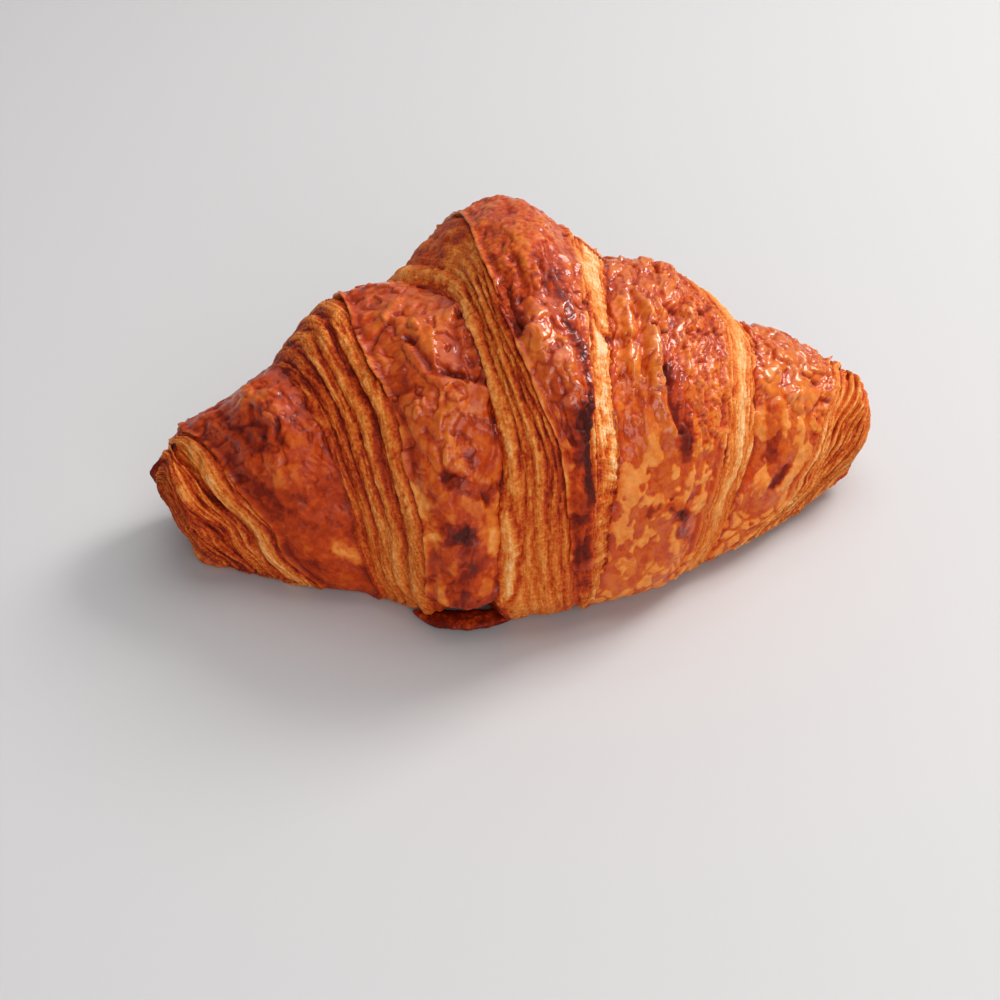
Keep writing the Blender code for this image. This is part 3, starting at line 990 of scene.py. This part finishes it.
def add_grit(skin, seed, strength):
    """Grainy roughness, with small pits."""
    grit = rough(skin.base, 1.8, seed, 2)
    pit = smooth_step((grain(skin.base, SMALL_PIT, seed + 1) - 0.25) / 0.3)
    skin.relief += strength * (0.22 * grit - 0.16 * pit)
    # Painted shade and light: the sunk pits are darker and the raised grains paler; the slow tone on top varies
    # at random.
    skin.bake += strength * (0.09 * pit - 0.07 * grit) + 0.09 * rough(skin.base, 6.0, seed + 2)


def add_plain(skin, at, seed, from_angle, tone):
    """Smoother, browner dough over the top, in place of the ridges."""
    plain = window(skin.angle, from_angle + 9.0, 122.0, 18.0) * smooth_step((at - 0.3) / 0.06)
    browner = tone + 0.24 * smooth_step((skin.angle - 84.0) / 14.0) + 0.28 * rough(skin.base, 4.0, seed)
    skin.bake += 0.75 * plain * (browner - skin.bake)
    folds = 0.7 * rough(skin.flow(1.5), 5.0, seed + 1, 3) + 0.4 * rough(skin.flow(2.5), 1.8, seed + 2, 2)
    skin.relief += plain * (folds - 0.75 * skin.relief)


def add_tufts(skin, seed, first, last):
    """Torn dough whose fibres run across the band, in small tufts."""
    torn = window(skin.share + 0.04 * rough(skin.base, 3.0, seed), first, last, 0.06)
    torn = torn * smooth_step((128.0 - skin.angle) / 16.0)
    swapped = together(skin.r, skin.s * 1.6, skin.strand[..., 2])
    skin.strand = np.where((torn > 0.5)[..., None], swapped, skin.strand)
    lengthwise = together(skin.r, skin.s / 3.0, 0.0)
    tufts = rough(lengthwise, 1.5, seed + 1, 2)
    skin.relief += torn * (0.38 * tufts + 0.35 * rough(lengthwise, 5.0, seed + 2))
    skin.bake += torn * (0.03 + 0.26 * rough(skin.base, 8.0, seed + 3) - 0.28 * tufts)


def stack_piece(look, settings):
    """Rope-like ridges with fine sheets on them, which wander and swell as they wind round the roll."""
    seed = look["seed"]
    band = Band(look["band"], *STACK_SPACING, ("tuck", "tuck"), seed=seed)
    shares = np.array([ridge[0] for ridge in look["ridges"]])
    ends = np.concatenate([[0.0], np.cumsum(shares / shares.sum())])
    stray = 1.2 * grain(together(band.r, 0.0, 0.0), 26.0, seed + 1)
    stray = stray + 0.9 * rough(band.flow(5.0), 3.5, seed + 2, 2) + 0.35 * rough(band.base, 1.8, seed + 3, 2)
    calm_edges = smooth_step(np.minimum(band.share, 1.0 - band.share) / 0.15)
    at = np.clip(band.share + stray * calm_edges / band.width, 0.0, 1.0)
    add_ridges(band, at, ends, look["ridges"], seed, settings.layer_height / MM, look.get("flatter", 0.0))
    crest = np.clip(band.relief, 0.0, 1.0)
    add_sheets(band, at * band.width, seed + 40, 1.0 - 0.55 * crest)
    add_grit(band, seed + 42, 0.5 + 0.7 * crest)
    if "plain" in look:
        add_plain(band, at, seed + 60, *look["plain"])
    low = smooth_step((26.0 - band.angle) / 34.0)
    band.bake += low * (0.55 * (0.44 - band.bake) + look.get("low_browning", 0.0))
    band.fibre[:] = 1.0 - 0.5 * crest
    band.gloss[:] = LAYER_GLOSS
    if "crosswise" in look:
        add_tufts(band, seed + 49, *look["crosswise"])
    band.marked(look.get("strokes", ()))
    foot, top = band.from_left, band.from_right
    if look["foot"] == "right":
        foot, top = top, foot
    foot, top = np.maximum(foot, 0.0), np.maximum(top, 0.0)
    # Painted shade: darker at the top edge, where the stack sinks under the crust's lip, and at its foot in the
    # crevice beside the next crust.
    band.relief -= 0.7 * hump(top, 0.7)
    band.bake += 0.12 * hump(top, 0.8) + 0.20 * hump(foot, 0.7)
    band.relief += 0.6 * hump(foot, 1.4)
    return band


# ---------------------------------------------------------------- the roll's ends

# "cores" are the roll's inner turns, outwards: place at the top, forward place, height of the middle, half
# width, half height, and shift at the bottom. Ridges go from the crust's edge to the tip's end, in millimetres:
# where one ends, its bulge and its browning; the dark browning of the grooves (negative bulge) is painted
# shade.
# "skin_share" is the side of the band that meets the crust, and "low_browning" is added low down.
TIPS = (
    dict(
        name="left tip layers", band=0, skin_share=1.0, seed=200, end=(-82.6, -3.5, 18.0), low_browning=0.08,
        cores=((-78.6, -6.0, 14.0, 14.0, 13.0, 6.0), (-79.6, -4.5, 16.0, 9.5, 9.5, 2.0),
               (-80.8, -4.0, 17.5, 6.0, 5.5, 0.5), (-82.0, -4.0, 18.0, 2.5, 2.5, 0.0)),
        ridges=(
            (0.6, 0.3, 0.50), (1.2, -0.2, 0.70), (6.2, 1.7, 0.28), (8.0, -1.5, 0.86), (9.2, 0.6, 0.50),
            (9.8, -0.4, 0.70), (13.4, 0.8, 0.54), (14.2, -0.5, 0.70), (18.0, 0.7, 0.56), (18.8, -0.4, 0.76),
            (21.0, 0.4, 0.58), (21.7, -0.3, 0.78), (24.0, 0.5, 0.56), (24.7, -0.3, 0.74), (40.0, 0.4, 0.62),
        ),
        strokes=(
            (((13.5, 30), (14.5, 12), (15.0, 0)), 2.2, 0.10, 0.5, 0.2),
        ),
    ),
    dict(
        name="right tip layers", band=10, skin_share=0.0, seed=705, end=(81.6, -3.5, 16.0), low_browning=-0.08,
        cores=((78.4, -4.5, 14.0, 11.0, 12.5, -5.0), (79.8, -4.0, 15.0, 8.0, 9.0, -1.5),
               (81.0, -3.5, 16.0, 4.5, 5.0, 0.0)),
        ridges=(
            (1.1, 0.5, 0.36), (1.7, -0.3, 0.62), (4.0, 0.9, 0.26), (4.6, -0.4, 0.60), (6.2, 0.7, 0.32),
            (6.8, -0.4, 0.60), (8.2, 0.7, 0.34), (8.8, -0.4, 0.62), (10.2, 0.7, 0.36), (10.8, -0.4, 0.64),
            (12.2, 0.7, 0.38), (12.8, -0.4, 0.64), (14.4, 0.7, 0.42), (15.0, -0.4, 0.66), (17.0, 0.6, 0.44),
            (17.6, -0.4, 0.66), (40.0, 0.5, 0.50),
        ),
    ),
)
TIP_SPACING = 0.3  # round the tip


def tip_piece(look, settings):
    """The dough's ends that show at a tip: ridges beside the crust, and finer frayed sheets further out."""
    seed = look["seed"]
    tip = Tip(look["band"], look["skin_share"], look["cores"], look["end"], TIP_SPACING)
    stray = 1.3 * rough(tip.flow(3.0), 9.0, seed + 1, 2) * smooth_step(tip.s / 3.0)
    at = tip.s + stray
    ends = np.array([-9.0] + [ridge[0] for ridge in look["ridges"]])
    add_ridges(tip, at, ends, look["ridges"], seed, settings.layer_height / MM)
    fading = smooth_step(tip.to_end / 2.5)
    tip.relief *= np.where(tip.s > 0.0, fading, 1.0)
    crest = np.clip(tip.relief, 0.0, 1.0)
    add_sheets(tip, at, seed + 40, (1.1 - 0.6 * crest) * fading)
    add_grit(tip, seed + 42, 0.5 + 0.7 * crest)
    low = smooth_step((25.0 - tip.angle) / 50.0) * smooth_step((tip.angle + 100.0) / 20.0)
    tip.bake += look["low_browning"] * low * smooth_step((tip.s - 9.0) / 5.0)
    tip.relief += 0.5 * rough(tip.base, 5.0, seed + 50, 2) * fading
    tip.fibre[:] = 1.0 - 0.5 * crest
    tip.gloss[:] = LAYER_GLOSS
    tip.marked(look.get("strokes", ()))
    tip.relief -= 0.7 * hump(tip.s, 0.7)
    return tip


# ---------------------------------------------------------------- scraps

# Torn ends of dough that stick out. Each knot along one: place, direction of its width, half its width, and
# half its thickness.
SCRAPS = (
    dict(
        name="front scrap", seed=810, bake=0.78, gloss=0.4,
        knots=(
            ((-31.0, -33.5, 1.4), (0.3, -1.0, 0.0), 2.0, 0.8),
            ((-27.0, -36.5, 1.5), (0.1, -1.0, 0.05), 3.0, 1.1),
            ((-20.0, -38.6, 1.8), (0.0, -1.0, 0.05), 3.2, 1.3),
            ((-13.0, -38.4, 1.6), (-0.1, -1.0, 0.05), 2.6, 1.1),
            ((-8.0, -37.0, 1.3), (-0.2, -1.0, 0.0), 1.6, 0.7),
        ),
    ),
    dict(
        name="left foot", seed=820, bake=0.47, gloss=0.7,
        knots=(
            ((-76.0, -3.5, 5.0), (-0.3, -0.8, -0.6), 2.2, 1.4),
            ((-73.0, -5.0, 2.8), (-0.2, -0.9, -0.4), 3.2, 1.8),
            ((-68.0, -6.5, 2.2), (0.1, -0.9, -0.4), 3.2, 1.8),
            ((-61.0, -9.5, 2.4), (0.3, -0.9, -0.4), 2.2, 1.5),
        ),
    ),
    dict(
        name="left scrap", seed=830, bake=0.80, gloss=0.2,
        knots=(
            ((-77.0, 1.5, 25.0), (-1.0, 0.1, 0.3), 2.0, 0.9),
            ((-80.0, 2.5, 21.5), (-1.0, 0.1, 0.2), 2.8, 1.2),
            ((-81.0, 2.5, 17.0), (-1.0, 0.1, -0.1), 2.4, 1.2),
        ),
    ),
    dict(
        name="right foot", seed=840, bake=0.50, gloss=0.4,
        knots=(
            ((67.0, -8.0, 4.6), (0.2, -0.7, -0.6), 1.6, 1.0),
            ((71.5, -6.5, 4.4), (0.2, -0.7, -0.6), 2.2, 1.3),
            ((75.0, -5.0, 5.2), (0.5, -0.7, -0.4), 2.2, 1.3),
            ((77.0, -4.0, 8.0), (0.9, -0.5, -0.1), 1.6, 1.0),
        ),
    ),
)


def scrap_piece(look, rows=70, columns=48):
    """A flattened, ragged tube of dough along a line, with rounded ends."""
    knots, seed = look["knots"], look["seed"]
    at = np.linspace(0.0, len(knots) - 1.0, rows)
    measures = np.array([(*place, *side, width, depth) for place, side, width, depth in knots])
    smooth = np.stack([curve_through(np.arange(len(knots)), measure, at) for measure in measures.T], axis=-1)
    line, side = smooth[:, :3], unit_rows(smooth[:, 3:6])
    up = unit_rows(np.cross(unit_rows(np.gradient(line, axis=0)), side))
    to_end = np.abs(np.linspace(-1.0, 1.0, rows))
    rounded = np.sqrt(np.clip(1.0 - to_end**5, 0.0, 1.0))
    turn = np.linspace(0.0, 2.0 * np.pi, columns + 1)
    across = np.cos(turn) * (smooth[:, 6] * rounded)[:, None]
    above = np.sin(turn) * (smooth[:, 7] * rounded)[:, None]
    points = line[:, None] + side[:, None] * across[..., None] + up[:, None] * above[..., None]
    torn = rough(points, 3.0, seed) * 0.7 * np.clip(np.cos(turn), 0.0, 1.0) * rounded[:, None]
    bumps = 0.35 * rough(points, 2.2, seed + 1) * rounded[:, None]
    points = points + side[:, None] * torn[..., None] + up[:, None] * (bumps * np.sign(np.sin(turn)))[..., None]
    points[..., 2] = np.maximum(points[..., 2], 0.0)
    bake = look["bake"] + 0.16 * rough(points, 3.5, seed + 2) + 0.12 * rough(points, 1.4, seed + 3)
    return points * MM, together(bake, look["gloss"], 0.8, across + above, walked_along(line)[:, None], seed)


# ---------------------------------------------------------------- settings, operators and panel


class CroissantShapeSettings(bpy.types.PropertyGroup):
    wrinkle_height: bpy.props.FloatProperty(
        name="Wrinkle height", description="Height of the crust's puffed wrinkles", default=0.001, min=0.0,
        unit="LENGTH",
    )
    layer_height: bpy.props.FloatProperty(
        name="Layer height", description="How far the thickest ridges of the layers stand out", default=0.001,
        min=0.0, unit="LENGTH",
    )


def colour_setting(name, description, colour):
    return bpy.props.FloatVectorProperty(
        name=name, description=description, subtype="COLOR", size=3, min=0.0, max=1.0, default=colour
    )


class CroissantBakingSettings(bpy.types.PropertyGroup):
    browning: bpy.props.FloatProperty(
        name="Browning", description="Bakes everything darker or paler", default=0.0, min=-0.5, max=0.5
    )
    glaze: bpy.props.FloatProperty(
        name="Glaze", description="How glossy the egg glaze is", default=1.0, min=0.0, max=1.5
    )
    pale: colour_setting("Pale", "Dough that the oven has hardly coloured", linear(252, 212, 162))
    golden: colour_setting("Golden", "Golden layers", linear(241, 161, 84))
    amber: colour_setting("Amber", "Lightly browned crust", linear(222, 117, 38))
    russet: colour_setting("Russet", "Well browned crust", linear(190, 63, 11))
    # Brown stands for real deep browning and also for the painted shade in creases, grooves and crevices.
    brown: colour_setting("Brown", "Deep creases and edges", linear(130, 30, 6))
    burnt: colour_setting("Burnt", "Burnt spots", linear(74, 19, 11))


class CroissantStageSettings(bpy.types.PropertyGroup):
    floor_colour: colour_setting("Floor colour", "Colour of the plain floor", (0.60, 0.595, 0.60))
    daylight: bpy.props.FloatProperty(
        name="Daylight", description="Strength of the soft light from all round", default=0.22, min=0.0
    )
    window: bpy.props.FloatProperty(
        name="Window", description="Power of the large soft light at the right", default=8.6, min=0.0,
        unit="POWER",
    )


CAMERA_TARGET = (-4.34, 5.38, 0.0)
CAMERA_AZIMUTH = -11.12
CAMERA_ELEVATION = 35.85
CAMERA_DISTANCE = 423.9
CAMERA_LENS = 65.0
FLOOR_RADIUS = 4.0
LIGHT_AIM = (0.0, 0.0, 0.03)
# Each soft light's place and size in metres, its share of the window's power, and its colour.
LIGHTS = {
    "window": ((0.75, 0.35, 0.75), (0.40, 0.40), 1.0, (1.0, 0.97, 0.94)),
    "ceiling": ((0.25, 0.1, 1.0), (1.0, 1.0), 0.58, (1.0, 0.99, 0.98)),
    "backdrop glow": ((0.25, 1.2, 0.85), (1.3, 0.7), 0.11, (1.0, 0.99, 0.98)),
    "fill": ((0.0, -1.0, 0.5), (0.8, 0.8), 0.66, (1.0, 1.0, 1.0)),
}


def area_light(name, place, size, power, colour):
    """A soft light that points at the croissant."""
    data = bpy.data.lights.new(name, "AREA")
    data.shape = "RECTANGLE"
    data.size, data.size_y = size
    data.energy = power
    data.color = colour
    light = bpy.data.objects.new(name, data)
    light.location = place
    light.rotation_euler = (Vector(LIGHT_AIM) - Vector(place)).to_track_quat("-Z", "Y").to_euler()
    bpy.context.scene.collection.objects.link(light)


class CROISSANT_OT_stage(bpy.types.Operator):
    """Makes the floor, the soft light and the camera"""

    bl_idname = "croissant.stage"
    bl_label = "Stage"

    def execute(self, context):
        settings = context.scene.croissant_stage
        bpy.ops.object.select_all(action="DESELECT")
        bpy.ops.mesh.primitive_circle_add(vertices=96, radius=FLOOR_RADIUS, fill_type="NGON")
        floor = context.object
        floor.name = "floor"
        made = Made("plain floor")
        floor.data.materials.append(made.surface(Base_Color=(*settings.floor_colour, 1.0), Roughness=0.6))
        world = bpy.data.worlds.new("soft daylight")
        world.use_nodes = True
        background = world.node_tree.nodes["Background"]
        background.inputs["Color"].default_value = (0.95, 0.97, 1.0, 1.0)
        background.inputs["Strength"].default_value = settings.daylight
        context.scene.world = world
        for name, (place, size, share, colour) in LIGHTS.items():
            area_light(name, place, size, settings.window * share, colour)
        camera_data = bpy.data.cameras.new("camera")
        camera_data.lens = CAMERA_LENS
        camera_data.sensor_width = 36.0
        camera_data.clip_start = 0.01
        camera = bpy.data.objects.new("camera", camera_data)
        turn, rise = np.radians(CAMERA_AZIMUTH), np.radians(CAMERA_ELEVATION)
        back = Vector((np.sin(turn) * np.cos(rise), -np.cos(turn) * np.cos(rise), np.sin(rise)))
        camera.location = (Vector(CAMERA_TARGET) + back * CAMERA_DISTANCE) * MM
        camera.rotation_euler = (-back).to_track_quat("-Z", "Y").to_euler()
        context.scene.collection.objects.link(camera)
        context.scene.camera = camera
        context.scene.view_settings.view_transform = "Standard"
        return {"FINISHED"}


def piece_name(look):
    return look["name"].replace(" ", "_")


class CROISSANT_OT_tips(bpy.types.Operator):
    """Makes the dough's ends that show at the two tips"""

    bl_idname = "croissant.tips"
    bl_label = "Tips"

    def execute(self, context):
        for look in TIPS:
            tip = tip_piece(look, context.scene.croissant_shape)
            sewn_grid(piece_name(look), *tip.finished(), material("layers"))
        return {"FINISHED"}


class CROISSANT_OT_stacks(bpy.types.Operator):
    """Makes the stacks of thin dough layers between the crusts"""

    bl_idname = "croissant.stacks"
    bl_label = "Layer stacks"

    def execute(self, context):
        for look in STACKS:
            band = stack_piece(look, context.scene.croissant_shape)
            sewn_grid(piece_name(look), *band.finished(), material("layers"))
        return {"FINISHED"}


class CROISSANT_OT_crusts(bpy.types.Operator):
    """Makes the glazed crusts"""

    bl_idname = "croissant.crusts"
    bl_label = "Crusts"

    def execute(self, context):
        for look in CRUSTS:
            band = crust_piece(look, context.scene.croissant_shape)
            sewn_grid(piece_name(look), *band.finished(), material("crust"))
        return {"FINISHED"}


class CROISSANT_OT_scraps(bpy.types.Operator):
    """Makes the torn scraps of dough that stick out at the foot and the tips"""

    bl_idname = "croissant.scraps"
    bl_label = "Scraps"

    def execute(self, context):
        for look in SCRAPS:
            sewn_grid(piece_name(look), *scrap_piece(look), material("crust"))
        return {"FINISHED"}


class CROISSANT_PT_sidebar(bpy.types.Panel):
    bl_label = "Croissant"
    bl_space_type = "VIEW_3D"
    bl_region_type = "UI"
    bl_category = "Croissant"

    def draw(self, context):
        for group_name, group in SETTINGS.items():
            for name in group.__annotations__:
                self.layout.prop(getattr(context.scene, group_name), name)
        for operator in OPERATORS:
            self.layout.operator(operator.bl_idname)


OPERATORS = (
    CROISSANT_OT_stage,
    CROISSANT_OT_tips,
    CROISSANT_OT_stacks,
    CROISSANT_OT_crusts,
    CROISSANT_OT_scraps,
)
SETTINGS = {
    "croissant_shape": CroissantShapeSettings,
    "croissant_baking": CroissantBakingSettings,
    "croissant_stage": CroissantStageSettings,
}
CLASSES = (*SETTINGS.values(), *OPERATORS, CROISSANT_PT_sidebar)


def register():
    for cls in CLASSES:
        bpy.utils.register_class(cls)
    for name, group in SETTINGS.items():
        setattr(bpy.types.Scene, name, bpy.props.PointerProperty(type=group))


def unregister():
    for name in SETTINGS:
        delattr(bpy.types.Scene, name)
    for cls in reversed(CLASSES):
        bpy.utils.unregister_class(cls)


def main():
    register()
    bpy.ops.croissant.stage()
    bpy.ops.croissant.tips()
    bpy.ops.croissant.stacks()
    bpy.ops.croissant.crusts()
    bpy.ops.croissant.scraps()


if __name__ == "__main__":
    main()
